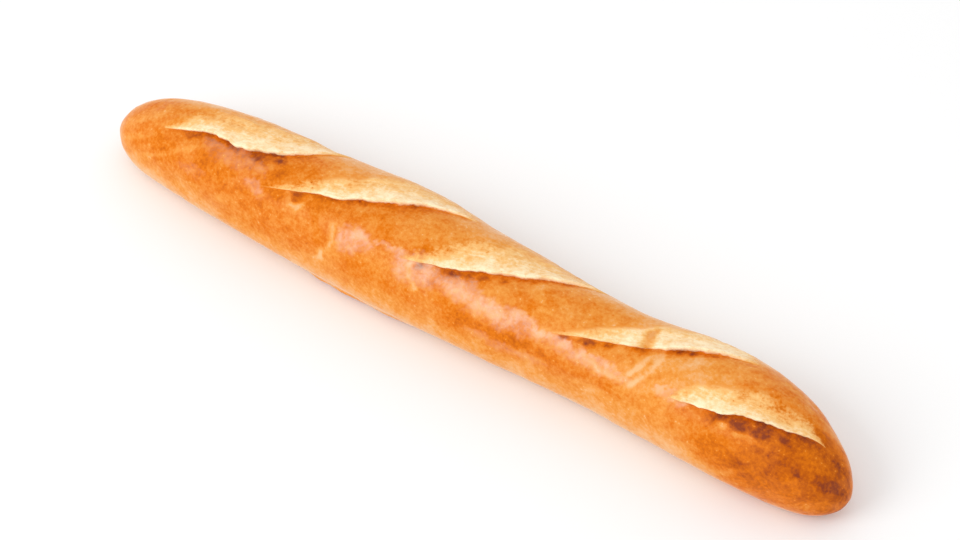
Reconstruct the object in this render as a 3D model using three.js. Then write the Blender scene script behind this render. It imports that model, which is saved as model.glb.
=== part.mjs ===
// Baguette: one scored loaf, baked as one piece and lying on its flat sole. Millimetres, +Z up. X runs along
// the loaf and +Y across it. The origin is on the sole, under the loaf's middle.
import * as THREE from 'three';
import { ParametricGeometry } from 'three/addons/geometries/ParametricGeometry.js';

// The plain loaf, before it is scored.
const LENGTH = 460;
const WIDTH = 68.5; // of the widest stretch
const HEIGHT = 53.5; // of the widest stretch, from the sole to the crown line
const BELLY_HEIGHT = 22; // of the line where the sides are widest
const NOSE_HEIGHT = 15; // of the two tips
const SOLE_CUT = 2; // how much of the rounded underside the flat sole takes off
const LEFT_TAPER = 106; // stretch over which the left end rounds off
const RIGHT_TAPER = 98;
const UNDERSIDE_TAPER = 46; // stretch over which the underside lifts to a tip
const NOSE_TAPER = 64; // stretch over which the belly line comes down to a tip
const CROWN_ROUNDNESS = 2.15; // exponent of the section over the belly line; 2 is an ellipse, more is squarer
const UNDERSIDE_ROUNDNESS = 3; // the same, under it

// The baker's shaping, at each tenth of the length from the left tip to the right one.
const WIDTH_SHARES = [1.02, 0.89, 0.89, 0.94, 1, 0.94, 0.86, 0.8, 0.9, 0.975, 1.02];
const SIDEWAYS_DRIFTS = [0.5, 3, 3.5, 2.5, 3, 1.5, 0.5, -0.5, 1, -2, -9.5]; // of the middle line, towards +Y
const CROWN_SHARE_OF_SWELL = 0.8; // how far the height follows the width

// The five scores. Each crosses the crown from the near side to the far side. middle is the place of its
// middle as a share of the loaf's length, and length runs along X. lip is how far round from the crown line
// its lip lies, at each quarter of it. opening is its widest gap, widest is where along the score that is,
// and slimness shapes its ends: 1 is pointed, and less is blunter.
const SCORES = [
  { middle: 0.193, length: 102, lip: [-17, -10, -8, 0, 24], opening: 30, widest: 0.48, slimness: 0.6 },
  { middle: 0.35, length: 122, lip: [-27, -17, -8, 4, 19], opening: 25, widest: 0.68, slimness: 0.9 },
  { middle: 0.546, length: 104, lip: [-25, -18, -7.5, 6, 24], opening: 27, widest: 0.58, slimness: 0.55 },
  { middle: 0.738, length: 105, lip: [-25, -16, -6.5, 5.5, 18], opening: 23, widest: 0.7, slimness: 0.7 },
  { middle: 0.875, length: 79, lip: [-27.5, -24, -18, -10, 3], opening: 17, widest: 0.48, slimness: 0.45 },
];
const EAR_RISE = 2.2; // of the lifted crust at its lip
const EAR_REACH = 13; // from the lip back to the plain crust
const GROOVE_DEPTH = 3; // under the plain crust, just behind the lip
const CRUMB_SWELL = 1.2; // of the opened crumb, over the plain crust
const LIP_THICKNESS = 2; // over which the lip drops into the groove
const LIP_SLIMNESS = 0.8; // shapes the ends of the lips, as a score's slimness does the ends of its gap
const SLOPE_STEP = 0.01; // share of a score over which its lip's slope is taken

// The mesh.
const STEPS_ALONG = 124;
const STEPS_ROUND = 36;
const CROWN_CROWDING = 0.35; // how much closer the steps are over the crown than under the sole
const LIP_CROWDING = 0.6; // how far a step near a lip is drawn to it
const LIP_CROWDING_REACH = 9; // how near that is
const TIP_STEPS_SHARE = 0.13; // of all the steps, those that crowd into each tip

const CROWN = HEIGHT - BELLY_HEIGHT;
const GIRTH_RADIUS = (WIDTH / 2 + CROWN) / 2; // turns a roll angle into a distance round the crown

// A curve through values at even places from the left tip to the right one.
function curveThrough(values) {
  const curve = new THREE.SplineCurve(values.map((value, place) => new THREE.Vector2(place, value)));
  return (share) => curve.getPoint(share).y;
}

const widthShareAt = curveThrough(WIDTH_SHARES);
const driftAt = curveThrough(SIDEWAYS_DRIFTS);

// From 0 at a tip to 1 where its taper ends, as a quarter of an ellipse.
function taper(x, left, right) {
  const fromLeft = THREE.MathUtils.clamp(1 - (x + LENGTH / 2) / left, 0, 1);
  const fromRight = THREE.MathUtils.clamp(1 - (LENGTH / 2 - x) / right, 0, 1);
  return Math.sqrt(1 - fromLeft ** 2) * Math.sqrt(1 - fromRight ** 2);
}

// The loaf's section at x: its middle, half width, belly height, and the heights over and under the belly
// line.
function sectionAt(x) {
  const share = x / LENGTH + 0.5;
  const widthShare = widthShareAt(share);
  const ends = taper(x, LEFT_TAPER, RIGHT_TAPER);
  const belly = NOSE_HEIGHT + (BELLY_HEIGHT - NOSE_HEIGHT) * taper(x, NOSE_TAPER, NOSE_TAPER);
  return {
    middle: driftAt(share),
    halfWidth: (WIDTH / 2) * widthShare * ends,
    belly,
    over: CROWN * (1 + CROWN_SHARE_OF_SWELL * (widthShare - 1)) * ends,
    under: (BELLY_HEIGHT + SOLE_CUT) * taper(x, UNDERSIDE_TAPER, UNDERSIDE_TAPER),
  };
}

// Where a score's lip runs at x: how far along the score that is, how far round from the crown line, and the
// cosine of its turn to that line.
function lipAt(score, x) {
  const start = (score.middle - 0.5) * LENGTH - score.length / 2;
  const along = THREE.MathUtils.clamp((x - start) / score.length, 0, 1);
  const line = curveThrough(score.lip);
  const before = Math.max(0, along - SLOPE_STEP);
  const after = Math.min(1, along + SLOPE_STEP);
  const slope = (line(after) - line(before)) / ((after - before) * score.length);
  return { along, girth: line(along), cosine: 1 / Math.hypot(1, slope) };
}

// How far a score gapes along its length, from 0 at its ends to 1 at its widest.
function gapeAt(score, along) {
  const skew = Math.log(0.5) / Math.log(score.widest);
  return Math.max(0, Math.sin(Math.PI * along ** skew));
}

// How far the crust stands over the plain loaf across a score. The ear climbs to its lip, the lip drops into
// the groove, and the opened crumb swells out of the groove up to the far edge of the cut.
function reliefAcross(across, opening) {
  const climb = Math.max(0, 1 + across / EAR_REACH);
  if (across <= 0) return EAR_RISE * climb ** 2;
  const share = Math.min(1, across / opening);
  const crumb = CRUMB_SWELL * Math.sin(Math.PI * share) - GROOVE_DEPTH * (1 - share) ** 4;
  return THREE.MathUtils.lerp(EAR_RISE, crumb, THREE.MathUtils.smoothstep(across, 0, LIP_THICKNESS));
}

// All the scores' relief at a place on the crust.
function reliefAt(x, girth) {
  let relief = 0;
  for (const score of SCORES) {
    const lip = lipAt(score, x);
    const gape = gapeAt(score, lip.along);
    if (gape < 1e-6) continue;
    const across = (girth - lip.girth) * lip.cosine;
    relief += gape ** LIP_SLIMNESS * reliefAcross(across, score.opening * gape ** score.slimness);
  }
  return relief;
}

// Place along the loaf of a step from 0 to 1. Steps are even, and shrink into each tip so that it stays
// round.
function placeAlong(step) {
  const fromTip = Math.min(step, 1 - step);
  const tipShare = (0.5 * TIP_STEPS_SHARE) / (1 - TIP_STEPS_SHARE);
  const even = tipShare * (2 * (fromTip / TIP_STEPS_SHARE) - 1);
  const share = fromTip < TIP_STEPS_SHARE ? tipShare * (fromTip / TIP_STEPS_SHARE) ** 2 : even;
  return (step < 0.5 ? share - 0.5 : 0.5 - share) * LENGTH;
}

// Roll angle of a step round the section, from under the loaf, by the far side and the crown, back to where
// it began.
function rollAt(step, x) {
  const even = Math.PI * (1 - 2 * step);
  let roll = even - CROWN_CROWDING * Math.sin(even);
  for (const score of SCORES) {
    const lip = lipAt(score, x);
    const away = lip.girth / GIRTH_RADIUS - roll;
    const nearness = Math.exp(-((away * GIRTH_RADIUS / LIP_CROWDING_REACH) ** 2));
    roll += LIP_CROWDING * gapeAt(score, lip.along) * nearness * away;
  }
  return roll;
}

// A point of the loaf's skin.
function skin(round, step, target) {
  const x = placeAlong(step);
  const section = sectionAt(x);
  const roll = rollAt(round, x);
  const sideways = Math.sin(roll);
  const upwards = Math.cos(roll);
  const power = 2 / (upwards > 0 ? CROWN_ROUNDNESS : UNDERSIDE_ROUNDNESS);
  const height = upwards > 0 ? section.over : section.under;
  const outwards = new THREE.Vector2(sideways * section.over, upwards * section.halfWidth).normalize();
  outwards.multiplyScalar(reliefAt(x, roll * GIRTH_RADIUS));
  const y = section.middle + section.halfWidth * Math.sign(sideways) * Math.abs(sideways) ** power;
  const z = section.belly + height * Math.sign(upwards) * Math.abs(upwards) ** power;
  target.set(x, y + outwards.x, Math.max(0, z + outwards.y));
}

function makeLoaf() {
  const geometry = new ParametricGeometry(skin, STEPS_ROUND, STEPS_ALONG);
  geometry.computeBoundingBox();
  const middle = geometry.boundingBox.getCenter(new THREE.Vector3());
  geometry.translate(-middle.x, -middle.y, 0);
  const crust = new THREE.MeshStandardMaterial({ color: 0xd48539, roughness: 0.55, metalness: 0 });
  const loaf = new THREE.Mesh(geometry, crust);
  loaf.name = 'loaf';
  return loaf;
}

const baguette = new THREE.Group();
baguette.add(makeLoaf());

export default baguette;
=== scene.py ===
"""A scored baguette, baked as one piece, lying on a pale studio floor.

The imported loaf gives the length, the width, the height and the place. The skin is one closed grid of
rings, worked out as whole arrays: a plain loaf first, then its scores, lips, wrinkles and blisters as
reliefs on it. Lengths are in metres. X runs along the loaf and +Y across it, away from the near side. A
girth is a distance round the loaf from its crown line, towards +Y, and a share runs from 0 to 1.
"""
import itertools
import math
from collections import namedtuple

import bpy
import numpy as np
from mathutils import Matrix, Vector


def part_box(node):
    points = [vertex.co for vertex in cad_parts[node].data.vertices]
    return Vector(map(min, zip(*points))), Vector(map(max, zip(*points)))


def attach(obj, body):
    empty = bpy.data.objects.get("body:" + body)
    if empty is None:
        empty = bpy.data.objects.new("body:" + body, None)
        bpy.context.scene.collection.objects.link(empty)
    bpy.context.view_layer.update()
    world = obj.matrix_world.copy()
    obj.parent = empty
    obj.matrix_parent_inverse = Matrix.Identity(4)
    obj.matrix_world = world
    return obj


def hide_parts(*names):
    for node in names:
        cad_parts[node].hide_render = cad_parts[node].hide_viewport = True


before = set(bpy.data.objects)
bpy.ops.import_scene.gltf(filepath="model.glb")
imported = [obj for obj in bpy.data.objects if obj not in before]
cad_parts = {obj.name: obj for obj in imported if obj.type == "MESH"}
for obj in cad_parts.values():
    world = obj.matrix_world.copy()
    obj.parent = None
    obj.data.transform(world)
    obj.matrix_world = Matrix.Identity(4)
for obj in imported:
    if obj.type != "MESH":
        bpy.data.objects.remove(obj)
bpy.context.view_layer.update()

bl_info = {
    "name": "Scored Baguette",
    "version": (1, 0, 0),
    "blender": (4, 5, 0),
    "location": "View3D > Sidebar > Baguette",
    "description": "Bakes a scored baguette and sets it on a pale studio floor",
    "category": "Object",
}

LOAF_LOW, LOAF_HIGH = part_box("loaf")
MM = 0.001
TINY = 1e-12  # keeps a division off zero

# The plain loaf.
EAR_RISE = 2.2 * MM  # of the lips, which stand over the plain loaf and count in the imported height
NOSE_HEIGHT = 15 * MM  # of the two tips
LEFT_TAPER = 106 * MM  # stretch over which the left end rounds off
RIGHT_TAPER = 98 * MM
UNDERSIDE_TAPER = 46 * MM  # stretch over which the underside lifts to a tip
NOSE_TAPER = 64 * MM  # stretch over which the belly line comes down to a tip
CROWN_ROUNDNESS = 2.15  # exponent of the section over the belly line: 2 is an ellipse, more is squarer
UNDERSIDE_ROUNDNESS = 3.0
CROWN_SHARE_OF_SWELL = 0.8  # how far the height follows the width
SOLE_EDGE = 1.2 * MM  # size of the corner between the sole and the sides

# The baker's shaping, at each tenth of the length from the left tip to the right one.
WIDTH_SHARES = (1.02, 0.89, 0.89, 0.94, 1, 0.94, 0.86, 0.8, 0.9, 0.975, 1.02)
SIDEWAYS_DRIFTS = (0.5, 3, 3.5, 2.5, 3, 1.5, 0.5, -0.5, 1, -2, -9.5)  # of the middle line, in millimetres

# How brown the crust is, at the same places, from 0 for dough to 1 for scorched.
TONES = (0.49, 0.52, 0.6, 0.57, 0.56, 0.55, 0.49, 0.42, 0.43, 0.7, 0.82)

# A score crosses the crown from the near side to the far side. middle is the place of its middle as a
# share of the loaf's length, length runs along X, and lip is the girth of its lip at each quarter of it,
# in millimetres. opening is its widest gap, widest is where along the score that is, and slimness shapes
# its ends: 1 is pointed, and less is blunter. The tones are how brown its crumb is at the far edge, at
# either end, and scorch and scorch_width say how dark its lip is burnt, and over what width.
Score = namedtuple(
    "Score", "middle length lip opening widest slimness left_tone right_tone scorch scorch_width"
)
SCORES = (
    Score(0.193, 102 * MM, (-17, -10, -8, 0, 24), 30 * MM, 0.48, 0.6, 0.95, 0.6, 0.45, 2 * MM),
    Score(0.35, 122 * MM, (-27, -17, -8, 4, 19), 25 * MM, 0.68, 0.9, 0.6, 0.66, 0.4, 1.6 * MM),
    Score(0.546, 104 * MM, (-25, -18, -7.5, 6, 24), 27 * MM, 0.58, 0.55, 0.8, 0.8, 0.35, 1.6 * MM),
    Score(0.738, 105 * MM, (-25, -16, -6.5, 5.5, 18), 23 * MM, 0.7, 0.7, 0.2, 0.35, 0.4, 1.6 * MM),
    Score(0.875, 79 * MM, (-27.5, -24, -18, -10, 3), 17 * MM, 0.48, 0.45, 0.45, 1, 0.3, 4 * MM),
)
SLOPE_STEP = 0.01  # share of a score over which its lip's slope is taken
EAR_REACH = 13 * MM  # from a lip back to the plain crust
EAR_SLIMNESS = 0.8  # shapes the ends of the lips, as a score's slimness does the ends of its opening
LIP_THICKNESS = 1.4 * MM  # over which a lip drops into its groove
LEAN_REACH = 3 * MM  # from a lip back to crust that hardly leans with it
LEAN_DROP = 0.7 * LIP_THICKNESS  # over which the lean ends behind the lip
FAR_RIDGE = 0.4 * MM  # of the crust along the far edge of a score
FAR_RIDGE_WIDTH = 1.5 * MM
FAR_SOFTNESS = 6  # how many times softer the crumb's far edge is than its lip
FAR_MARGIN = 0.5 * MM  # how far past that edge the crumb's colour may still show
STRETCH_REACH = 7 * MM  # of the paler crust beyond that edge
TOAST_REACH = 3.5 * MM  # of the browner crust in front of a lip
SCORCH_SLIMNESS = 0.4  # as EAR_SLIMNESS, for the burnt line on a lip
SCORCH_STRENGTH = 0.5  # of that line, before its blotches
TONE_CHANGE = (0.15, 0.65)  # where along a score the crumb goes from its left tone to its right one
TONE_POWER = 0.85  # of the share of the way to the far edge, by which the crumb browns
TIP_TONE = 0.45  # how much browner the crumb is in the tips of a score
TIP_GAPE = 0.6  # up to which a score counts as its tip
CLOSED_GAPE = 1e-6  # up to which it is closed
RUN_SHIFT = 0.3  # keeps the streaks of the scores from being alike, in metres
MARKS = ("lift", "lean", "lean_x", "toast", "stretch", "scorch", "bridge", "age", "run", "reach")
SHOWN_MARKS = ("browning_and_painted_light", "scorch", "inside", "age", "run", "reach", "glaze", "bridge")  # by the material
NOTCHED_SCORE = 0  # the score whose crumb spills over its lip
NOTCH_ALONG = 0.48  # where along that score
NOTCH_DEPTH = 2.6 * MM
NOTCH_WIDTH = 7 * MM
BRIDGED_SCORE = 3  # the score that a strand of crust still spans
BRIDGE_ALONG = 0.5  # where along that score
BRIDGE_WIDTH = 3.2 * MM
BRIDGE_SLANT = 0.25  # how far it runs back along the score, for each step across
BRIDGE_FADE = 5 * MM  # stretch over which it ends at the far edge
BRIDGE_RISE = 0.5  # share of a lip's rise

# Noises, as layers of strength, grain and seed.
LIP_WANDER = ((1.2 * MM, 13 * MM, 10), (0.8 * MM, 5 * MM, 20), (0.35 * MM, 2 * MM, 30))
FAR_EDGE_WANDER = ((0.12, 9 * MM, 40), (0.08, 4 * MM, 45))
SCORCH_BLOTCHES = ((0.8, 5 * MM, 50), (0.5, 2 * MM, 60))
BROWN_BLOTCHES = ((0.06, 42 * MM, 1), (0.07, 14 * MM, 2))
LOW_CRUST_WANDER = ((3 * MM, 20 * MM, 8),)
UNEVEN_LAYERS = ((1, 38 * MM, 3), (0.5, 15 * MM, 4))
FINE_UNEVENNESS = ((0.12 * MM, 5 * MM, 5),)
CRUMB_RIDGES = ((0.2 * MM, (14 * MM, 1.5 * MM), 6), (0.12 * MM, (5 * MM, 3 * MM), 7))
WRINKLE_STRAY = ((1.8 * MM, 6 * MM, 65), (0.8 * MM, 2.5 * MM, 85))
WRINKLE_FADING = ((0.6, 4 * MM, 79),)
FOOT_FADING = ((0.5, 9 * MM, 74),)
SPOT_STRAY = ((1.2 * MM, 4 * MM, 71),)
SPOT_FLECKS = ((0.35, 2.2 * MM, 72), (0.2, 5 * MM, 73))
GLAZE_STRAY_ALONG = ((5 * MM, 9 * MM, 75), (2.5 * MM, 1.8 * MM, 76))
GLAZE_STRAY_ROUND = ((3 * MM, 7 * MM, 77), (2 * MM, 1.5 * MM, 78))
STRAY_SHARE_ACROSS = 0.6  # how far wrinkles and burnt spots stray across, when they stray by 1 along
BLISTER_SIZES = ((1, 9 * MM, 0.4, 81), (0.6, 4.5 * MM, 0.35, 91))  # strength, cell, chance and seed
LARGEST_DOME = 0.4  # radius of a blister, as a share of its cell
SMALLEST_DOME = 0.35  # share of that radius
DOME_MARGIN = 0.2  # of a cell, at either side, that no blister's middle lies in

# Large odd numbers, by which the bits of a cell's numbers are mixed.
SEED_FACTOR = 374761393
CELL_FACTOR = np.uint32(668265263)
FIRST_MIX_FACTOR = np.uint32(2246822519)
SECOND_MIX_FACTOR = np.uint32(3266489917)

# Pale creases where the crust stretched, as points of x and girth in millimetres.
WRINKLES = (
    ((118, -3), (119.5, -8), (118.6, -13), (118, -20), (114, -26), (112, -30)),
    ((115, -9), (112, -17), (109, -25)),
    ((-71, -25), (-69, -33), (-72, -40), (-74, -47)),
    ((-23, -25), (-21, -32), (-15, -36)),
    ((84, -27), (92, -31), (104, -31)),
    ((-104, -21), (-102, -25.5), (-97, -26), (-94, -23)),
    ((178, -25), (170, -28), (160, -28)),
)
WRINKLE_WIDTH = 1.8 * MM
WRINKLE_RISE = 0.35 * MM
WRINKLE_STRENGTH = 0.75

# Burnt spots of crust: x, girth and half length, all in millimetres, and how burnt, from 0 to 1.
BURNT_SPOTS = (
    (-174, -13, 8, 0.6),
    (-160, -12.5, 6, 0.85),
    (-131, -9.5, 5, 0.8),
    (-120, -5.5, 4.5, 0.65),
    (-98, -18, 4, 0.4),
    (-99, -22, 2.6, 0.75),
    (-17, -23.5, 3.2, 0.75),
    (0, -19.5, 4.4, 1),
    (9, -16.5, 3, 0.6),
    (17, -12.5, 3.4, 0.6),
    (27, -9, 3.4, 0.6),
    (69, -22, 3.6, 0.85),
    (82, -17.8, 4.8, 1),
    (92, -14.5, 3.6, 0.8),
    (107, -8.5, 4, 0.6),
    (124, -0.8, 4.6, 1),
    (131, 2, 3.6, 1),
    (143, 7.5, 3.4, 0.6),
    (160, -24, 5, 0.8),
    (171, -22.5, 7, 0.95),
    (183, -20, 7, 0.85),
    (194, -15.5, 6, 0.45),
    (204, -9, 5, 0.35),
    (188, -27, 9, 0.3),
    (207, -30, 2.6, 0.45),
)
SPOT_TURN = 21  # of the spots, to the crown line, in degrees
SPOT_SLIMNESS = 0.55  # width over length
SPOT_STRENGTH = 0.85
SPOT_RANGE = (0.35, 1.1)  # weakest and strongest, with the flecks

# Shiny patches of crust, glossy by their coat and paled by a painted sheen mixed into the crust's colour:
# x and girth of the middle, half length and half width, in millimetres, and strength.
GLOSS_AND_PAINTED_SHEEN_PATCHES = (
    (-57, -27.5, 14, 8.5, 0.9),
    (-34, -22.5, 9, 3.5, 0.8),
    (-17, -27, 17, 9, 1),
    (12, -26.5, 20, 8, 0.9),
    (42, -28, 24, 8, 0.95),
    (82, -29, 30, 5.5, 0.85),
    (-144, -16, 22, 7, 0.4),
    (-125, -27, 8, 5, 0.5),
    (135, -26, 12, 4, 0.7),
    (-165, -36, 14, 4, 0.25),
    (40, -46, 26, 4, 0.35),
    (-150, 34, 24, 6, 0.7),
    (-60, 36, 20, 6, 0.8),
    (10, 33, 26, 5, 0.8),
    (110, 36, 22, 6, 0.7),
)
GLAZE_EDGE = 1.1  # where a patch ends, in its half lengths
GLAZE_SOFTNESS = (0.8, 0.35)  # of a patch's edges towards the near side and towards the crown

# How the browning changes over the crust, from 0 for dough to 1 for scorched, painted light included. A pair
# of lengths without a note of its own is in x, from where a change begins to where it is whole.
RIGHT_END = (105 * MM, 215 * MM)  # the end that took most heat
RIGHT_TIP = (205 * MM, 228 * MM)
RIGHT_TIP_BROWNING = 0.06
CROWN_SIDE = (-22 * MM, -6 * MM)  # in girth, from where the change begins to where it is whole
CROWN_PALENESS = 0.05
# The far side, where it turns edge-on to the camera, is made paler: a painted rim light.
FAR_SIDE = (2 * MM, 24 * MM)  # the same
FAR_PAINTED_RIM_LIGHT = 0.55
FAR_PAINTED_RIM_LIGHT_SAVED = 0.5  # share of that painted rim light that the right end doesn't have
# The low flanks are paler: partly crust that browned less, partly painted bounce light from the floor.
LOW_CRUST = (8 * MM, 32 * MM)  # in height, from the palest to the last of it
LOW_PALENESS_AND_PAINTED_BOUNCE = (0.7, 0.25)  # on the near side and on the far side
LOW_PALENESS_AND_PAINTED_BOUNCE_SAVED = 0.7  # as FAR_PAINTED_RIM_LIGHT_SAVED
# The dent's darkening is painted shade in its crease.
MARKS_BROWNING_AND_PAINTED_SHADE = {"toast": 0.12, "foot": 0.45, "dent_and_painted_shade": 0.14, "stretch": -0.14, "wrinkle": -0.4}
PULL_TURN = 38  # of the stripes where the dough was pulled, to the crown line, in degrees
PULL_GRAIN = (34 * MM, 3.6 * MM)  # their length and width
PULL_SEED = 9
PULL_BROWNING = 0.05
PULLED_ENDS = (90 * MM, 190 * MM)  # in distance from the middle
PULLED_ENDS_BROWNING = 0.07  # of the stripes there, on top of PULL_BROWNING

# A long shallow dent in the near side, darkened by painted shade, and a foot of crust that spread under it.
DENT_FROM, DENT_TO = -10 * MM, 125 * MM
DENT_FADE = 30 * MM  # stretch over which it begins and ends
DENT_GIRTH = -39 * MM
DENT_WIDTH = 4.5 * MM
DENT_DEPTH = 0.7 * MM
FOOT_FROM, FOOT_TO = -98 * MM, -8 * MM
FOOT_FADE = 25 * MM
FOOT_HEIGHT = 2.6 * MM  # of its middle, over the floor
FOOT_THICKNESS = 2.2 * MM
FOOT_REACH = 3.2 * MM  # how far it stands out sideways
FOOT_STRENGTH = 0.8

# Where the skin changes.
OFF_SOLE = (0.5 * MM, 6 * MM)  # heights over which its unevenness begins
CRUST_EDGE = 0.5 * MM  # how far either side of the crumb's edge the crust's relief fades

# The mesh.
RINGS = 640
STEPS = 154
CROWN_CROWDING = 0.35  # how much closer the steps are over the crown than under the sole
LIP_CROWDING = 0.6  # how far a step near a lip is drawn to it
LIP_CROWDING_REACH = 9 * MM
TIP_STEPS_SHARE = 0.13  # of all the rings, those that crowd into each tip

# The material. Sizes are of its grains. Where there are four numbers, a grain that goes through the range of
# the first two puts out that of the last two.
PATCH_SIZE = 26 * MM
MOTTLE_SIZE = 7 * MM
FRECKLE_SIZE = 2 * MM
PORE_SIZE = 0.8 * MM
STREAK_SIZE = 1.3 * MM
STREAK_SQUEEZE = 0.12  # width of a streak over its length
BALANCED = (0.34, 0.66, -0.5, 0.5)  # most of a grain's values lie in that range
DARK_SPECKS = (0.66, 0.74)  # values of the freckles, from none of the specks to all
LIGHT_SPECKS = (0.34, 0.27)
CRUST_STOPS = (0.06, 0.34, 0.6, 0.84, 1.0)  # brownings of dough, golden, orange, brown and scorched crust
CRUMB_STOPS = (0.0, 0.5, 1.0)  # ages of crumb, toasted crumb and golden crust
CRUMB_TO_CRUST = (0.6, 1.15)  # ages over which crumb turns into crust
CRUMB_EDGE = (0.25 * MM, 0.8 * MM)  # depths inside its edge over which its colour comes up
EDGE_MOTTLE = 1.2 * MM  # how ragged the mottle makes that edge
EDGE_FRECKLES = 0.8 * MM
SOLE_HEIGHTS = (1.6 * MM, 0.4 * MM)
SOLE_MOTTLE = 3 * MM
STREAKS_MIDDLE = 0.42
PAINTED_SHEEN_COVER = (0.35, 0.65, 0.9, 0.45)  # cover of the painted sheen, by the mottle
DULLNESS = (0.4, 0.62, 0.5, 0.62)  # by the patches
THIN_GLAZE = (0.55, 0.45, 0, 0.12)  # by the patches
BUMP_HEIGHT = 0.4 * MM

# The studio.
FLOOR_RADIUS = 4
FLOOR_SIDES = 96
KEY_SIZE = 1.3
KEY_DISTANCE = 2.4
KEY_AZIMUTH = math.radians(-27)
KEY_ELEVATION = math.radians(38)
AIM = (-0.1 * MM, 7.4 * MM, 25 * MM)  # what the camera looks at


def srgb(red, green, blue):
    """The scene's own (linear) colour for one given as screen values from 0 to 255."""
    parts = [part / 255 for part in (red, green, blue)]
    return tuple(part / 12.92 if part <= 0.04045 else ((part + 0.055) / 1.055) ** 2.4 for part in parts)


def length_value(name, description, default):
    """A length that the sidebar shows."""
    return bpy.props.FloatProperty(
        name=name,
        description=description,
        default=default,
        min=0,
        precision=4,
        unit="LENGTH",
        subtype="DISTANCE",
    )


def colour_value(name, description, default):
    """A colour that the sidebar shows."""
    return bpy.props.FloatVectorProperty(
        name=name, description=description, default=default, min=0, max=1, size=3, subtype="COLOR"
    )


def angle_value(name, description, degrees):
    """An angle that the sidebar shows."""
    return bpy.props.FloatProperty(
        name=name, description=description, default=math.radians(degrees), subtype="ANGLE"
    )


def share_value(name, description, default):
    """A share from 0 to 1 that the sidebar shows."""
    return bpy.props.FloatProperty(
        name=name, description=description, default=default, min=0, max=1, subtype="FACTOR"
    )


class LoafShape(bpy.types.PropertyGroup):
    """The loaf's sizes."""

    length: length_value("Length", "From tip to tip", LOAF_HIGH.x - LOAF_LOW.x)
    width: length_value("Width", "Of the widest stretch", LOAF_HIGH.y - LOAF_LOW.y)
    height: length_value("Height", "Of the crown, without the lips", LOAF_HIGH.z - LOAF_LOW.z - EAR_RISE)
    belly_height: length_value("Belly height", "Of the line where the sides are widest", 22 * MM)
    sole_cut: length_value("Sole cut", "How much of the round underside the flat sole takes off", 2 * MM)
    ear_rise: length_value("Ear rise", "Of the lifted crust at a lip", EAR_RISE)
    ear_overhang: length_value("Ear overhang", "How far a lip leans over its groove", 1.3 * MM)
    groove_depth: length_value("Groove depth", "Under the plain crust, behind a lip", 2.2 * MM)
    crumb_swell: length_value("Crumb swell", "Of the opened crumb over the plain crust", 1.3 * MM)
    blister_height: length_value("Blister height", "Of the largest blisters", 0.45 * MM)
    unevenness: length_value("Unevenness", "Of the hand-shaped surface", 0.7 * MM)


class CrustFinish(bpy.types.PropertyGroup):
    """The colours of the crust and of the crumb."""

    dough: colour_value("Dough", "Crust that hardly browned", srgb(232, 178, 122))
    golden: colour_value("Golden", "Lightly browned crust", srgb(227, 148, 63))
    orange: colour_value("Orange", "Well browned crust", srgb(214, 112, 6))
    brown: colour_value("Brown", "Darkly browned crust", srgb(176, 82, 4))
    scorched: colour_value("Scorched", "Burnt lips and blisters", srgb(134, 58, 26))
    crumb: colour_value("Crumb", "Crumb just behind a lip", srgb(252, 232, 192))
    toasted_crumb: colour_value("Toasted crumb", "Crumb that opened first", srgb(240, 188, 118))
    sole: colour_value("Sole", "Floury baked sole", srgb(184, 124, 62))
    # A painted sheen: the pale colour below is mixed into the crust of the glossy patches, as a painted
    # highlight.
    painted_sheen: colour_value("Film", "Of the glazed patches of crust", srgb(236, 201, 174))
    painted_sheen_strength: share_value("Film strength", "How far that colour covers the crust", 0.46)
    gloss: share_value("Gloss", "Of the glazed patches of crust", 1.0)


class StudioSetup(bpy.types.PropertyGroup):
    """The floor, the surround, the light and the camera."""

    floor_colour: colour_value("Floor", "Colour of the floor", (0.9, 0.9, 0.9))
    surround: bpy.props.FloatProperty(name="Surround", description="Strength of its white", default=0.95)
    key: bpy.props.FloatProperty(name="Key", description="Power of the key light", default=22, unit="POWER")
    lens: bpy.props.FloatProperty(name="Lens", description="Focal length in millimetres", default=100)
    distance: length_value("Distance", "From the camera to what it looks at", 1.397)
    azimuth: angle_value("Azimuth", "Of the camera, from -Y towards +X", 33.4)
    elevation: angle_value("Elevation", "Of the camera, over the floor", 48)


# Noise and small shapes, for whole arrays of points.


def smoothstep(value, low, high):
    """From 0 at low to 1 at high, level at both, by 3t² - 2t³."""
    share = np.clip((value - low) / (high - low), 0, 1)
    return share * share * (3 - 2 * share)


def bell(distance, width):
    """A bell curve: 1 at no distance, and 1/e at one width."""
    return np.exp(-((distance / width) ** 2))


def scattered(cells, seed):
    """A repeatable random number from 0 to 1 for each whole-numbered cell, by mixing its numbers' bits."""
    bits = np.full(cells.shape[:-1], seed * SEED_FACTOR % 2**32, np.uint32)
    for axis in range(cells.shape[-1]):
        bits = bits ^ (cells[..., axis].astype(np.uint32) * CELL_FACTOR)
        bits = (bits ^ (bits >> 15)) * FIRST_MIX_FACTOR
        bits = (bits ^ (bits >> 13)) * SECOND_MIX_FACTOR
    return (bits ^ (bits >> 16)) / 2**32


def noise(points, cell, seed):
    """Smooth noise from -1 to 1: random values at the corners of a lattice, blended by smoothstep."""
    place = points / cell
    corner = np.floor(place).astype(np.int64)
    part = place - corner
    part = part * part * (3 - 2 * part)
    total = np.zeros(points.shape[:-1])
    for offset in itertools.product((0, 1), repeat=points.shape[-1]):
        weight = np.prod(np.where(offset, part, 1 - part), axis=-1)
        total += weight * scattered(corner + np.array(offset), seed)
    return 2 * total - 1


def layered(points, layers, shift=0):
    """The sum of a noise's layers. shift is added to their seeds."""
    return sum(strength * noise(points, grain, seed + shift) for strength, grain, seed in layers)


def within(x, start, end, fade):
    """From 0 at start up to 1 over a fade, and down to 0 at the end over another."""
    return smoothstep(x, start, start + fade) * (1 - smoothstep(x, end - fade, end))


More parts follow.
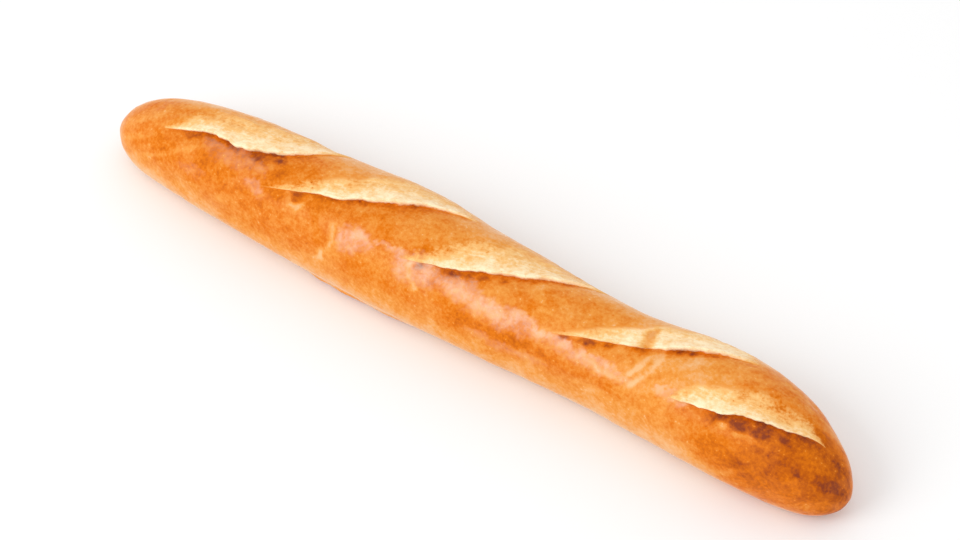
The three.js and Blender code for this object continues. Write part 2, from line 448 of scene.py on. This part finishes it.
def blisters(points, cell, chance, seed):
    """Domes scattered in a lattice, where a cell holds one by chance, at a random place and of a random
    radius. The height is the highest dome's (1 - d²/r²)², times its share of the largest radius."""
    home = np.floor(points / cell).astype(np.int64)
    height = np.zeros(points.shape[:-1])
    for offset in itertools.product((-1, 0, 1), repeat=3):
        near = home + np.array(offset)
        middle = np.stack([scattered(near, seed + axis) for axis in range(3)], axis=-1)
        size = SMALLEST_DOME + (1 - SMALLEST_DOME) * scattered(near, seed + 3) ** 2
        middle = (near + DOME_MARGIN + (1 - 2 * DOME_MARGIN) * middle) * cell
        away = np.linalg.norm(points - middle, axis=-1) / (LARGEST_DOME * cell * size)
        dome = np.clip(1 - away**2, 0, 1) ** 2
        height = np.maximum(height, np.where(scattered(near, seed + 4) < chance, dome * size, 0))
    return height


def curve_through(values, share):
    """A Catmull-Rom curve through values at even places, each piece a cubic of the four nearest ones."""
    values = np.asarray(values, float)
    last = len(values) - 1
    place = np.clip(share, 0, 1) * last
    before = np.minimum(np.floor(place).astype(int), last - 1)
    part = place - before
    p0, p1, p2, p3 = (values[np.clip(before + step, 0, last)] for step in (-1, 0, 1, 2))
    slope_in = (p2 - p0) / 2
    slope_out = (p3 - p1) / 2
    cubic = (2 * p1 - 2 * p2 + slope_in + slope_out) * part**3
    return cubic + (3 * p2 - 3 * p1 - 2 * slope_in - slope_out) * part**2 + slope_in * part + p1


def distance_to_path(x, girth, path):
    """From each place of the crust to a path of straight pieces, given in millimetres."""
    nearest = np.full(x.shape, np.inf)
    for (x0, girth0), (x1, girth1) in itertools.pairwise(np.array(path) * MM):
        run, rise = x1 - x0, girth1 - girth0
        part = np.clip(((x - x0) * run + (girth - girth0) * rise) / (run**2 + rise**2), 0, 1)
        nearest = np.minimum(nearest, np.hypot(x - x0 - part * run, girth - girth0 - part * rise))
    return nearest


# The plain loaf.


def girth_radius(shape):
    """Turns a roll angle into a girth: the mean of half the width and of the height over the belly."""
    return (shape.width / 2 + shape.height - shape.belly_height) / 2


def taper(x, length, left, right):
    """From 0 at a tip to 1 where its taper ends, as a quarter of an ellipse."""
    from_left = np.clip(1 - (x + length / 2) / left, 0, 1)
    from_right = np.clip(1 - (length / 2 - x) / right, 0, 1)
    return np.sqrt(1 - from_left**2) * np.sqrt(1 - from_right**2)


def plain_skin(x, roll, shape):
    """Points of the unscored loaf. A section is the upper half of one superellipse over the lower half of
    another, cut off by the flat sole, with a parabola of SOLE_EDGE for the corner between them."""
    share = x / shape.length + 0.5
    width_share = curve_through(WIDTH_SHARES, share)
    ends = taper(x, shape.length, LEFT_TAPER, RIGHT_TAPER)
    middle = curve_through(SIDEWAYS_DRIFTS, share) * MM
    half_width = shape.width / 2 * width_share * ends
    nose = taper(x, shape.length, NOSE_TAPER, NOSE_TAPER)
    belly = NOSE_HEIGHT + (shape.belly_height - NOSE_HEIGHT) * nose
    over = (shape.height - shape.belly_height) * (1 + CROWN_SHARE_OF_SWELL * (width_share - 1)) * ends
    under = (shape.belly_height + shape.sole_cut) * taper(x, shape.length, UNDERSIDE_TAPER, UNDERSIDE_TAPER)
    sideways = np.sin(roll)
    upwards = np.cos(roll)
    power = 2 / np.where(upwards > 0, CROWN_ROUNDNESS, UNDERSIDE_ROUNDNESS)
    y = middle + half_width * np.sign(sideways) * np.abs(sideways) ** power
    z = belly + np.where(upwards > 0, over, under) * np.sign(upwards) * np.abs(upwards) ** power
    corner = np.clip(z + SOLE_EDGE, 0, 2 * SOLE_EDGE)
    z = np.maximum(z - SOLE_EDGE, 0) + corner**2 / (4 * SOLE_EDGE)
    return np.stack([x + 0 * roll, y, z], axis=-1)


def directions(points):
    """Unit vectors of a closed grid of rings: out of the skin, and round it in the order of the steps."""
    along = np.gradient(points, axis=0)
    around = np.roll(points, -1, axis=1) - np.roll(points, 1, axis=1)
    around /= np.linalg.norm(around, axis=-1, keepdims=True) + TINY
    outwards = np.cross(around, along)
    outwards /= np.linalg.norm(outwards, axis=-1, keepdims=True) + TINY
    return outwards, around


# The scores.


def lip_at(score, number, x, shape):
    """Where a score's lip runs at x: how far along the score that is, its girth, and the cosine of its
    turn to the crown line. The lip is a curve through five girths, and wanders by noise of three sizes."""
    start = (score.middle - 0.5) * shape.length - score.length / 2
    along = np.clip((x - start) / score.length, 0, 1)
    before, after = np.maximum(along - SLOPE_STEP, 0), np.minimum(along + SLOPE_STEP, 1)
    rise = (curve_through(score.lip, after) - curve_through(score.lip, before)) * MM
    cosine = 1 / np.hypot(1, rise / ((after - before) * score.length))
    wander = layered((along * score.length)[..., None], LIP_WANDER, number)
    line = curve_through(score.lip, along) * MM + wander * gape_at(score, along)
    if number == NOTCHED_SCORE:
        line -= NOTCH_DEPTH * bell((along - NOTCH_ALONG) * score.length, NOTCH_WIDTH)
    return along, line, cosine


def gape_at(score, along):
    """How far a score gapes along its length, from 0 at its ends to 1 at its widest, as a skewed sine."""
    skew = math.log(0.5) / math.log(score.widest)
    return np.sin(math.pi * along**skew).clip(0, 1)


def lift_across(across, opening, shape):
    """How far the crust stands over the plain loaf across a score. The ear climbs to its lip as a
    parabola, and the lip drops into the groove, which fades by a fourth power. The crumb swells out of it,
    as half a sine, up to a low ridge at the far edge."""
    ear = shape.ear_rise * np.clip(1 + across / EAR_REACH, 0, 1) ** 2
    share = np.clip(across / np.maximum(opening, MM), 0, 1)
    crumb = shape.crumb_swell * np.sin(math.pi * share) - shape.groove_depth * (1 - share) ** 4
    crumb += FAR_RIDGE * bell(across - opening, FAR_RIDGE_WIDTH)
    drop = smoothstep(across, 0, LIP_THICKNESS)
    return np.where(across <= 0, ear, shape.ear_rise + (crumb - shape.ear_rise) * drop)


def lean_across(across, shape):
    """How far the skin shifts across a score, so that the lip leans over its groove: an exponential curve
    up to the lip, and smoothstep behind it."""
    before = np.exp(np.minimum(across, 0) / LEAN_REACH)
    behind = 1 - smoothstep(across, 0, LEAN_DROP)
    return shape.ear_overhang * np.where(across < 0, before, behind)


def cut_scores(x, girth, shape):
    """What all the scores do to the crust, as arrays: lift and lean, how far a place is inside an opened
    score, how toasted and how scorched the ears are, how far the crust beyond is stretched, where the
    bridge is, the age of the crumb, which is how brown it is, and the run and the reach of a place along
    and across its score."""
    found = {name: np.zeros(x.shape) for name in MARKS}
    found["inside"] = np.full(x.shape, -1.0)
    for number, score in enumerate(SCORES):
        along, lip, cosine = lip_at(score, number, x, shape)
        gape = gape_at(score, along)
        across = (girth - lip) * cosine
        run = (along * score.length)[..., None]
        opening = score.opening * gape**score.slimness * (1 + layered(run, FAR_EDGE_WANDER, number))
        rise = gape**EAR_SLIMNESS
        lift = lift_across(across, opening, shape) * rise
        behind_lip = smoothstep(across, 0, LIP_THICKNESS)
        if number == BRIDGED_SCORE:
            strand = bell((along - BRIDGE_ALONG) * score.length + BRIDGE_SLANT * across, BRIDGE_WIDTH)
            strand *= behind_lip * smoothstep(opening - across, 0, BRIDGE_FADE)
            lift += strand * np.maximum(BRIDGE_RISE * shape.ear_rise - lift, 0)
            found["bridge"] = strand
        found["lift"] += lift
        lean = lean_across(across, shape) * rise
        found["lean"] += lean * cosine
        found["lean_x"] -= lean * np.sqrt(1 - cosine**2)
        before_groove = across < LIP_THICKNESS
        toast = np.where(before_groove, rise * np.exp(np.minimum(across, 0) / TOAST_REACH), 0)
        found["toast"] = np.maximum(found["toast"], toast)
        beyond = bell(np.maximum(across - opening, 0), STRETCH_REACH) * behind_lip
        found["stretch"] = np.maximum(found["stretch"], beyond * rise)
        blotches = SCORCH_STRENGTH + layered(np.stack([x, girth], axis=-1), SCORCH_BLOTCHES, number)
        line = bell(np.minimum(across + score.scorch_width / 2, 0), score.scorch_width)
        scorch = np.where(before_groove, gape**SCORCH_SLIMNESS * line, 0) * score.scorch
        found["scorch"] = np.maximum(found["scorch"], scorch * np.clip(blotches, 0, 1))
        inside = np.minimum(across, (opening - across) / FAR_SOFTNESS + FAR_MARGIN)
        share = np.clip(across / np.maximum(opening, MM), 0, 1)
        tone = score.left_tone + (score.right_tone - score.left_tone) * smoothstep(along, *TONE_CHANGE)
        tip = TIP_TONE * (1 - smoothstep(gape, 0, TIP_GAPE))
        better = (inside > found["inside"]) & (gape > CLOSED_GAPE)
        for name, value in (
            ("inside", inside),
            ("age", tone * share**TONE_POWER + tip),
            ("run", run[..., 0] + RUN_SHIFT * number),
            ("reach", across),
        ):
            found[name] = np.where(better, value, found[name])
    return found


# The whole skin.


def ring_places(shape):
    """Places along the loaf, from just past the left tip to just before the right one. Rings are even, and
    shrink by a square into each tip so that it stays round."""
    step = np.arange(1, RINGS) / RINGS
    from_tip = np.minimum(step, 1 - step)
    tip_share = 0.5 * TIP_STEPS_SHARE / (1 - TIP_STEPS_SHARE)
    even = tip_share * (2 * from_tip / TIP_STEPS_SHARE - 1)
    share = np.where(from_tip < TIP_STEPS_SHARE, tip_share * (from_tip / TIP_STEPS_SHARE) ** 2, even)
    return np.where(step < 0.5, share - 0.5, 0.5 - share) * shape.length


def roll_angles(x, shape):
    """Roll angles of the steps round each ring, from under the loaf, by the near side and the crown, back
    again. A sine crowds them over the crown, and a bell curve draws them to each lip."""
    even = 2 * math.pi * (np.arange(STEPS) / STEPS) - math.pi
    roll = np.tile(even - CROWN_CROWDING * np.sin(even), (len(x), 1))
    radius = girth_radius(shape)
    for number, score in enumerate(SCORES):
        along, lip, _ = lip_at(score, number, x[:, None], shape)
        away = lip - roll * radius
        roll = roll + LIP_CROWDING * gape_at(score, along) * bell(away, LIP_CROWDING_REACH) * away / radius
    return roll


def pulled_stripes(x, girth):
    """Noise from -1 to 1 in long thin grains, turned to lie slanting across the crown line."""
    turn = math.radians(PULL_TURN)
    along = x * math.cos(turn) + girth * math.sin(turn)
    across = girth * math.cos(turn) - x * math.sin(turn)
    return noise(np.stack([along, across], axis=-1), PULL_GRAIN, PULL_SEED)


def browning_and_painted_light_at(points, x, girth, marks, shape):
    """How brown the crust is, from 0 for dough to 1 for scorched, before the fine mottling, with painted
    light in it. The right end took most heat. The flanks are paler low down, partly where the loaf rose last
    and partly as painted bounce light from the floor, the far side is paler as a painted rim light, and the
    dent is darker as painted shade."""
    right_end = smoothstep(x, *RIGHT_END)
    far = smoothstep(girth, *FAR_SIDE)
    low = 1 - smoothstep(points[..., 2] + layered(points, LOW_CRUST_WANDER), *LOW_CRUST)
    stripes = PULL_BROWNING + PULLED_ENDS_BROWNING * smoothstep(np.abs(x), *PULLED_ENDS)
    brown = curve_through(TONES, x / shape.length + 0.5) + layered(points, BROWN_BLOTCHES)
    brown += stripes * pulled_stripes(x, girth)
    brown -= CROWN_PALENESS * smoothstep(girth, *CROWN_SIDE)
    brown += RIGHT_TIP_BROWNING * smoothstep(x, *RIGHT_TIP)
    # Painted rim light: the far side is made paler.
    brown *= 1 - FAR_PAINTED_RIM_LIGHT * far * (1 - FAR_PAINTED_RIM_LIGHT_SAVED * right_end)
    # Paler low flanks: partly less browned crust, partly painted floor bounce.
    low_paleness_and_painted_bounce = LOW_PALENESS_AND_PAINTED_BOUNCE[0] + (LOW_PALENESS_AND_PAINTED_BOUNCE[1] - LOW_PALENESS_AND_PAINTED_BOUNCE[0]) * far
    brown *= 1 - low_paleness_and_painted_bounce * low * (1 - LOW_PALENESS_AND_PAINTED_BOUNCE_SAVED * right_end)
    for name, strength in MARKS_BROWNING_AND_PAINTED_SHADE.items():
        brown += strength * marks[name]
    return brown


def gloss_and_painted_sheen(points, x, girth):
    """Which of the crust is glossy and carries the painted sheen, from 0 to 1: ellipses, whose edges
    wander by noise of two sizes and are softer on the near side."""
    stray_x = (x + layered(points, GLAZE_STRAY_ALONG)) / MM
    stray_girth = (girth + layered(points, GLAZE_STRAY_ROUND)) / MM
    found = np.zeros(x.shape)
    for middle, middle_girth, half_length, half_width, strength in GLOSS_AND_PAINTED_SHEEN_PATCHES:
        away = np.hypot((stray_x - middle) / half_length, (stray_girth - middle_girth) / half_width)
        softness = np.where(stray_girth < middle_girth, *GLAZE_SOFTNESS)
        found = np.maximum(found, strength * smoothstep((GLAZE_EDGE - away) / softness, 0, 1))
    return found


def burnt(points, x, girth):
    """How burnt the crust is in spots, from 0 to 1: bell curves, longer along the lips than across them,
    whose places wander by noise, and whose insides are flecked by finer noise."""
    turn = math.radians(SPOT_TURN)
    stray = layered(points, SPOT_STRAY)
    found = np.zeros(x.shape)
    for middle, middle_girth, half_length, strength in BURNT_SPOTS:
        off_x, off_girth = x - middle * MM, girth - middle_girth * MM
        along = off_x * math.cos(turn) + off_girth * math.sin(turn) + stray
        across = off_girth * math.cos(turn) - off_x * math.sin(turn) + STRAY_SHARE_ACROSS * stray
        away = np.hypot(along, across / SPOT_SLIMNESS)
        found = np.maximum(found, strength * bell(away, half_length * MM))
    return found * np.clip(SPOT_STRENGTH + layered(points, SPOT_FLECKS), *SPOT_RANGE)


def wrinkled(points, x, girth):
    """How far the crust is creased, from 0 to 1: bell curves across paths that stray and fade by noise."""
    found = np.zeros(x.shape)
    for number, path in enumerate(WRINKLES):
        stray = layered(points, WRINKLE_STRAY, number)
        away = distance_to_path(x + stray, girth + STRAY_SHARE_ACROSS * stray, path)
        found = np.maximum(found, bell(away, WRINKLE_WIDTH))
    return found * np.clip(WRINKLE_STRENGTH + layered(points, WRINKLE_FADING), 0, 1)


def blistered(points):
    """The blisters of both sizes, as a share of the largest one's height."""
    total = np.zeros(points.shape[:-1])
    for strength, cell, chance, seed in BLISTER_SIZES:
        total += strength * blisters(points, cell, chance, seed)
    return total


def foot_at(points, x, girth):
    """How far the foot of crust stands out on the near side, from 0 to 1: a bell curve over the height."""
    foot = bell(points[..., 2] - FOOT_HEIGHT, FOOT_THICKNESS) * (girth < 0)
    foot *= within(x, FOOT_FROM, FOOT_TO, FOOT_FADE)
    return foot * np.clip(FOOT_STRENGTH + layered(points, FOOT_FADING), 0, 1)


def make_skin(shape):
    """The loaf's grid of points, and the marks that its material reads. The plain skin is moved outwards
    by all the reliefs, round by the lean of the lips, and sideways by the foot."""
    x_line = ring_places(shape)
    roll = roll_angles(x_line, shape)
    x = np.repeat(x_line[:, None], STEPS, axis=1)
    girth = roll * girth_radius(shape)
    points = plain_skin(x, roll, shape)
    outwards, around = directions(points)
    off_sole = smoothstep(points[..., 2], *OFF_SOLE)

    marks = cut_scores(x, girth, shape)
    crust = 1 - smoothstep(marks["inside"], -CRUST_EDGE, CRUST_EDGE)
    marks["wrinkle"] = wrinkled(points, x, girth) * crust
    marks["glaze"] = gloss_and_painted_sheen(points, x, girth)
    marks["scorch"] = np.maximum(marks["scorch"], burnt(points, x, girth))
    marks["dent_and_painted_shade"] = bell(girth - DENT_GIRTH, DENT_WIDTH) * within(x, DENT_FROM, DENT_TO, DENT_FADE)
    marks["foot"] = foot_at(points, x, girth)

    uneven = shape.unevenness * layered(points, UNEVEN_LAYERS) + layered(points, FINE_UNEVENNESS)
    uneven += shape.blister_height * blistered(points) * crust
    lift = marks["lift"] + uneven * off_sole
    lift += WRINKLE_RISE * marks["wrinkle"] - DENT_DEPTH * marks["dent_and_painted_shade"]
    lift += layered(np.stack([marks["run"], marks["reach"]], axis=-1), CRUMB_RIDGES) * (1 - crust)
    points = points + outwards * lift[..., None] + around * marks["lean"][..., None]
    points[..., 0] += marks["lean_x"]
    points[..., 1] -= FOOT_REACH * marks["foot"]
    points[..., 2] = np.maximum(points[..., 2], 0)
    marks["browning_and_painted_light"] = browning_and_painted_light_at(points, x, girth, marks, shape)
    return points, marks


def skin_faces():
    """Corner numbers of the skin's faces: a four-sided face between each pair of rings and steps, and a
    fan of three-sided ones at each tip. The tips are the last two points."""
    rings = RINGS - 1
    ring, step = np.meshgrid(np.arange(rings - 1), np.arange(STEPS), indexing="ij")
    corner = ring * STEPS + step
    beside = ring * STEPS + (step + 1) % STEPS
    walls = np.stack([corner, corner + STEPS, beside + STEPS, beside], axis=-1).reshape(-1, 4)
    here = np.arange(STEPS)
    there = (here + 1) % STEPS
    left_tip = rings * STEPS
    last = (rings - 1) * STEPS
    left = np.stack([here, there, np.full(STEPS, left_tip)], axis=-1)
    right = np.stack([last + there, last + here, np.full(STEPS, left_tip + 1)], axis=-1)
    return walls, np.concatenate([left, right])


def mesh_from_grid(name, points, shape):
    """A closed mesh of the grid's rings and its two tips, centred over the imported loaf."""
    tips = np.stack([points[0].mean(axis=0), points[-1].mean(axis=0)])
    tips[:, 0] = (-shape.length / 2, shape.length / 2)
    vertices = np.concatenate([points.reshape(-1, 3), tips])
    middle = (vertices.min(axis=0) + vertices.max(axis=0)) / 2
    packed_middle = (LOAF_LOW + LOAF_HIGH) / 2
    vertices[:, 0] += packed_middle.x - middle[0]
    vertices[:, 1] += packed_middle.y - middle[1]
    walls, caps = skin_faces()
    sides = np.concatenate([np.full(len(walls), 4), np.full(len(caps), 3)])
    mesh = bpy.data.meshes.new(name)
    mesh.vertices.add(len(vertices))
    mesh.vertices.foreach_set("co", vertices.astype(np.float32).ravel())
    mesh.loops.add(int(sides.sum()))
    mesh.loops.foreach_set("vertex_index", np.concatenate([walls.ravel(), caps.ravel()]).astype(np.int32))
    mesh.polygons.add(len(sides))
    mesh.polygons.foreach_set("loop_start", (np.cumsum(sides) - sides).astype(np.int32))
    mesh.update(calc_edges=True)
    mesh.shade_smooth()
    return mesh


def store(mesh, name, values):
    """Keeps a number for each point of the grid as an attribute. A tip takes the mean of its last ring."""
    tips = [values[0].mean(), values[-1].mean()]
    attribute = mesh.attributes.new(name, "FLOAT", "POINT")
    attribute.data.foreach_set("value", np.concatenate([values.ravel(), tips]).astype(np.float32))


# Materials.


def new_node(tree, kind, inputs=None, **settings):
    """Adds a node. An input's value is a number, a colour or the output socket of another node."""
    made = tree.nodes.new(kind)
    for name, value in settings.items():
        setattr(made, name, value)
    for name, value in (inputs or {}).items():
        if isinstance(value, bpy.types.NodeSocket):
            tree.links.new(value, made.inputs[name])
        else:
            made.inputs[name].default_value = value
    return made


def maths(tree, operation, first, second, third=0.0, clamp=False):
    """One operation on numbers."""
    inputs = {0: first, 1: second, 2: third}
    return new_node(tree, "ShaderNodeMath", inputs, operation=operation, use_clamp=clamp).outputs[0]


def added(tree, start, parts):
    """A number, with each of the others added to it by its strength."""
    total = start
    for value, strength in parts:
        total = maths(tree, "MULTIPLY_ADD", value, strength, total)
    return total


def centred(tree, grain, middle=0.5):
    """A grain's number less its middle, so that it adds as much as it takes away."""
    return maths(tree, "SUBTRACT", grain, middle)


def mixed(tree, share, first, second):
    """Two colours, mixed by a share."""
    inputs = {0: share, 6: first, 7: second}
    return new_node(tree, "ShaderNodeMix", inputs, data_type="RGBA").outputs[2]


def spread(tree, value, low, high, to_low=0.0, to_high=1.0):
    """A number moved from one range to another, smoothly, and held at its ends."""
    inputs = {"Value": value, 1: low, 2: high, 3: to_low, 4: to_high}
    return new_node(tree, "ShaderNodeMapRange", inputs, interpolation_type="SMOOTHSTEP").outputs[0]


def grains(tree, place, size, detail, roughness, distortion=0.0):
    """Noise whose grains are about as large as size, from 0 to 1."""
    inputs = {
        "Vector": place,
        "Scale": 1 / size,
        "Detail": detail,
        "Roughness": roughness,
        "Distortion": distortion,
    }
    return new_node(tree, "ShaderNodeTexNoise", inputs).outputs[0]


def mark(tree, name):
    """One of the numbers kept with the mesh."""
    return new_node(tree, "ShaderNodeAttribute", attribute_name=name).outputs["Fac"]


def rgba(colour):
    """A colour with full alpha, for a socket."""
    return (*colour, 1.0)


def colours_by(tree, value, stops, colours):
    """A colour ramp, with a colour at each of its stops."""
    made = new_node(tree, "ShaderNodeValToRGB", {"Fac": value})
    ramp = made.color_ramp
    while len(ramp.elements) < len(stops):
        ramp.elements.new(0.5)
    for element, stop, colour in zip(ramp.elements, stops, colours):
        element.position = stop
        element.color = rgba(colour)
    return made.outputs["Color"]


def crust_material(finish):
    """Baked bread. One number, the browning with its painted light, runs through the crust's colours. The
    opened crumb has its own, and lies where the mark called inside is over 0, with a ragged edge. The skin
    is finely wrinkled and pored, glazed in patches that also get a painted sheen, and the sole is matt and
    floury."""
    material = bpy.data.materials.new("baked_bread")
    material.use_nodes = True
    tree = material.node_tree
    tree.nodes.clear()
    place = new_node(tree, "ShaderNodeTexCoord").outputs["Object"]
    height = new_node(tree, "ShaderNodeSeparateXYZ", {0: place}).outputs["Z"]
    run = maths(tree, "MULTIPLY", mark(tree, "run"), STREAK_SQUEEZE)
    streak_place = new_node(tree, "ShaderNodeCombineXYZ", {0: run, 1: mark(tree, "reach")}).outputs[0]

    patches = grains(tree, place, PATCH_SIZE, detail=3, roughness=0.55, distortion=0.4)
    mottle = grains(tree, place, MOTTLE_SIZE, detail=4, roughness=0.62, distortion=0.3)
    freckles = grains(tree, place, FRECKLE_SIZE, detail=3, roughness=0.6)
    pores = grains(tree, place, PORE_SIZE, detail=3, roughness=0.7)
    streaks = grains(tree, streak_place, STREAK_SIZE, detail=3, roughness=0.6, distortion=0.2)
    blotches = spread(tree, mottle, *BALANCED)
    spots = spread(tree, freckles, *BALANCED)
    dark_specks = spread(tree, freckles, *DARK_SPECKS)
    light_specks = spread(tree, freckles, *LIGHT_SPECKS)

    # The browning mark carries painted rim light on the far side, painted floor bounce low down and painted
    # shade in the dent.
    browning_and_painted_light = added(
        tree,
        mark(tree, "browning_and_painted_light"),
        (
            (centred(tree, patches), 0.3),
            (blotches, 0.14),
            (spots, 0.14),
            (dark_specks, 0.12),
            (light_specks, -0.28),
            (mark(tree, "scorch"), 0.56),
        ),
    )
    crust_colours = (finish.dough, finish.golden, finish.orange, finish.brown, finish.scorched)
    crust = colours_by(tree, browning_and_painted_light, CRUST_STOPS, crust_colours)
    # Painted sheen: a pale colour mixed into the crust over the glossy patches, as a painted highlight.
    painted_sheen = added(tree, spread(tree, mottle, *PAINTED_SHEEN_COVER), ((spots, 0.45),))
    painted_sheen = maths(tree, "MULTIPLY", mark(tree, "glaze"), painted_sheen, clamp=True)
    crust = mixed(tree, maths(tree, "MULTIPLY", painted_sheen, finish.painted_sheen_strength), crust, rgba(finish.painted_sheen))

    age = added(
        tree,
        mark(tree, "age"),
        (
            (centred(tree, streaks, STREAKS_MIDDLE), 0.5),
            (blotches, 0.3),
            (spots, 0.2),
            (dark_specks, 0.3),
            (mark(tree, "bridge"), 0.8),
        ),
    )
    crumb = colours_by(tree, age, CRUMB_STOPS, (finish.crumb, finish.toasted_crumb, finish.golden))
    crumb = mixed(tree, spread(tree, age, *CRUMB_TO_CRUST), crumb, crust)
    edge = ((centred(tree, mottle), EDGE_MOTTLE), (centred(tree, freckles), EDGE_FRECKLES))
    opened = spread(tree, added(tree, mark(tree, "inside"), edge), *CRUMB_EDGE)
    colour = mixed(tree, opened, crust, crumb)

    sole_edge = added(tree, height, ((centred(tree, mottle), SOLE_MOTTLE),))
    sole = spread(tree, sole_edge, *SOLE_HEIGHTS)
    sole_colour = mixed(tree, mottle, rgba(finish.sole), rgba(finish.brown))
    colour = mixed(tree, sole, colour, sole_colour)

    matt = maths(tree, "MAXIMUM", opened, sole)
    dullness = spread(tree, patches, *DULLNESS)
    roughness = added(tree, dullness, ((centred(tree, pores), 0.2), (matt, 0.25)))
    glaze = added(tree, spread(tree, patches, *THIN_GLAZE), ((painted_sheen, 0.5),))
    glaze = maths(tree, "MULTIPLY", glaze, maths(tree, "SUBTRACT", 1, matt))
    glaze = maths(tree, "MULTIPLY", glaze, finish.gloss)

    skin = added(tree, 0, ((mottle, 0.6), (freckles, 0.4), (pores, 0.15)))
    fibres = added(tree, 0, ((streaks, 0.8), (pores, 0.35)))
    relief = new_node(tree, "ShaderNodeMix", {0: opened, 2: skin, 3: fibres}).outputs[0]
    bump = new_node(tree, "ShaderNodeBump", {"Strength": 1, "Distance": BUMP_HEIGHT, "Height": relief})

    shader = new_node(
        tree,
        "ShaderNodeBsdfPrincipled",
        {
            "Base Color": colour,
            "Roughness": roughness,
            "Coat Weight": glaze,
            "Coat Roughness": 0.3,
            "Normal": bump.outputs[0],
            "IOR": 1.45,
            "Specular IOR Level": 0.1,
            "Sheen Weight": 0.7,
            "Sheen Roughness": 0.28,
            "Sheen Tint": (1, 0.88, 0.78, 1),
        },
    )
    new_node(tree, "ShaderNodeOutputMaterial", {"Surface": shader.outputs[0]}, is_active_output=True)
    return material


def floor_material(studio):
    """Plain pale paper."""
    material = bpy.data.materials.new("pale_floor")
    material.use_nodes = True
    shader = material.node_tree.nodes["Principled BSDF"]
    shader.inputs["Base Color"].default_value = rgba(studio.floor_colour)
    shader.inputs["Roughness"].default_value = 0.9
    shader.inputs["Specular IOR Level"].default_value = 0.1
    return material


def link_object(name, data):
    """A new object in the scene, at the origin."""
    made = bpy.data.objects.new(name, data)
    bpy.context.scene.collection.objects.link(made)
    return made


class BAGUETTE_OT_bake_loaf(bpy.types.Operator):
    """Make the loaf's skin and its baked crust, in place of the plain packed loaf"""

    bl_idname = "baguette.bake_loaf"
    bl_label = "Bake Loaf"

    def execute(self, context):
        shape = context.scene.baguette_shape
        points, marks = make_skin(shape)
        if not np.isfinite(points).all():
            raise RuntimeError("the loaf's sizes don't make a shape: check the heights and the sole cut")
        mesh = mesh_from_grid("baguette_loaf", points, shape)
        for name in SHOWN_MARKS:
            store(mesh, name, marks[name])
        mesh.materials.append(crust_material(context.scene.baguette_finish))
        loaf = link_object("baguette_loaf", mesh)
        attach(loaf, "root")
        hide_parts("loaf")
        return {"FINISHED"}


def place_facing(thing, azimuth, elevation, distance, aim):
    """Puts a light or a camera at a distance from what it faces. The azimuth goes from -Y towards +X."""
    level = math.cos(elevation)
    away = Vector((math.sin(azimuth) * level, -math.cos(azimuth) * level, math.sin(elevation)))
    thing.location = Vector(aim) + away * distance
    thing.rotation_euler = away.to_track_quat("Z", "Y").to_euler()


class BAGUETTE_OT_set_stage(bpy.types.Operator):
    """Set the pale floor, the white surround, the soft light and the camera"""

    bl_idname = "baguette.set_stage"
    bl_label = "Set Stage"

    def execute(self, context):
        scene = context.scene
        studio = scene.baguette_studio
        turns = np.linspace(0, 2 * math.pi, FLOOR_SIDES, endpoint=False)
        rim = FLOOR_RADIUS * np.stack([np.cos(turns), np.sin(turns), 0 * turns], axis=-1)
        mesh = bpy.data.meshes.new("studio_floor")
        mesh.from_pydata(rim.tolist(), [], [list(range(len(rim)))])
        mesh.materials.append(floor_material(studio))
        link_object("studio_floor", mesh)

        world = bpy.data.worlds.new("white_surround")
        world.use_nodes = True
        background = world.node_tree.nodes["Background"]
        background.inputs["Color"].default_value = (1, 1, 1, 1)
        background.inputs["Strength"].default_value = studio.surround
        scene.world = world
        light = bpy.data.lights.new("key_light", "AREA")
        light.energy = studio.key
        light.size = KEY_SIZE
        place_facing(link_object("key_light", light), KEY_AZIMUTH, KEY_ELEVATION, KEY_DISTANCE, (0, 0, 0))

        camera = bpy.data.cameras.new("camera")
        camera.lens = studio.lens
        scene.camera = link_object("camera", camera)
        place_facing(scene.camera, studio.azimuth, studio.elevation, studio.distance, AIM)
        scene.view_settings.view_transform = "Standard"
        return {"FINISHED"}


class BAGUETTE_PT_sidebar(bpy.types.Panel):
    """The loaf's and the stage's buttons and values"""

    bl_idname = "BAGUETTE_PT_sidebar"
    bl_label = "Baguette"
    bl_space_type = "VIEW_3D"
    bl_region_type = "UI"
    bl_category = "Baguette"

    def draw(self, context):
        for title, group, button in (
            ("Loaf", context.scene.baguette_shape, "baguette.bake_loaf"),
            ("Finish", context.scene.baguette_finish, None),
            ("Studio", context.scene.baguette_studio, "baguette.set_stage"),
        ):
            box = self.layout.box()
            box.label(text=title)
            for name in group.__annotations__:
                box.prop(group, name)
            if button:
                box.operator(button)


CLASSES = (
    LoafShape,
    CrustFinish,
    StudioSetup,
    BAGUETTE_OT_bake_loaf,
    BAGUETTE_OT_set_stage,
    BAGUETTE_PT_sidebar,
)


def register():
    for made in CLASSES:
        bpy.utils.register_class(made)
    bpy.types.Scene.baguette_shape = bpy.props.PointerProperty(type=LoafShape)
    bpy.types.Scene.baguette_finish = bpy.props.PointerProperty(type=CrustFinish)
    bpy.types.Scene.baguette_studio = bpy.props.PointerProperty(type=StudioSetup)


def unregister():
    del bpy.types.Scene.baguette_studio
    del bpy.types.Scene.baguette_finish
    del bpy.types.Scene.baguette_shape
    for made in reversed(CLASSES):
        bpy.utils.unregister_class(made)


def main():
    register()
    bpy.ops.baguette.bake_loaf()
    bpy.ops.baguette.set_stage()


if __name__ == "__main__":
    main()
